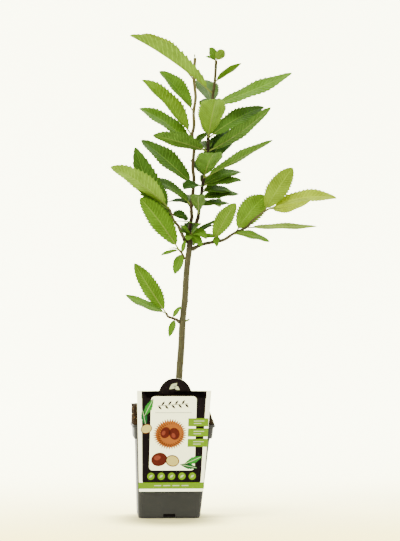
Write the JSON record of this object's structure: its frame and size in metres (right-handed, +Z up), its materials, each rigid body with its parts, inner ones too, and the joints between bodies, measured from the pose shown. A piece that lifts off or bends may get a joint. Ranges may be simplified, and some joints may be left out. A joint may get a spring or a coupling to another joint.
{
  "type": "potted sweet chestnut sapling",
  "caption": "young sweet chestnut in a square plastic nursery pot, its soil block standing proud of the rim, a picture card hooked over the front",
  "frame": {"origin": "middle of the pot's flat underside, where the pot stands", "axes": "+Z up the stem; +X to the right as the card is read; -Y towards the card"},
  "size_m": [0.3056, 0.204, 0.6551],
  "materials": {
    "pot": "satin",
    "soil": "matte",
    "card": "satin",
    "bark": "matte",
    "leaves": "satin"
  },
  "bodies": {
    "root": {"pot": "pot", "root_ball": "soil", "label": "card", "trunk": "bark", "left_leader": "bark", "right_leader": "bark", "right_bough": "bark", "left_bough": "bark", "low_twig": "bark", "left_shoot": "leaves", "right_shoot": "leaves", "right_spray": "leaves", "right_tuft": "leaves", "left_spray": "leaves", "spur_tuft": "leaves", "fork_tuft_front": "leaves", "fork_tuft_back": "leaves", "low_spray": "leaves"}
  },
  "joints": []
}
